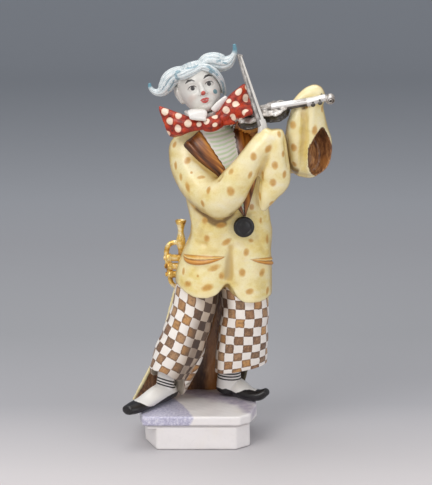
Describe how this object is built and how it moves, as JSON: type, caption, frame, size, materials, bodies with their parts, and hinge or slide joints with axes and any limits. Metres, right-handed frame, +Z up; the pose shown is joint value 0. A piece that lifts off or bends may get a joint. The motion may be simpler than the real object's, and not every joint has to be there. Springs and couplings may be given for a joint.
{
  "type": "porcelain clown figurine",
  "caption": "Glazed porcelain figurine of a clown playing a violin, in a spotted coat and checked trousers, standing on a low chamfered plinth",
  "frame": {"origin": "middle of the plinth's flat underside, at the height of the surface it stands on", "axes": "+Z up along the figure's height, -Y the way the clown faces, +X to the viewer's right, towards the hand that holds the violin's neck"},
  "size_m": [0.1441, 0.0935, 0.2792],
  "materials": {
    "glazed_porcelain": "gloss"
  },
  "bodies": {
    "root": {"clown_figurine": "glazed_porcelain"}
  },
  "joints": []
}
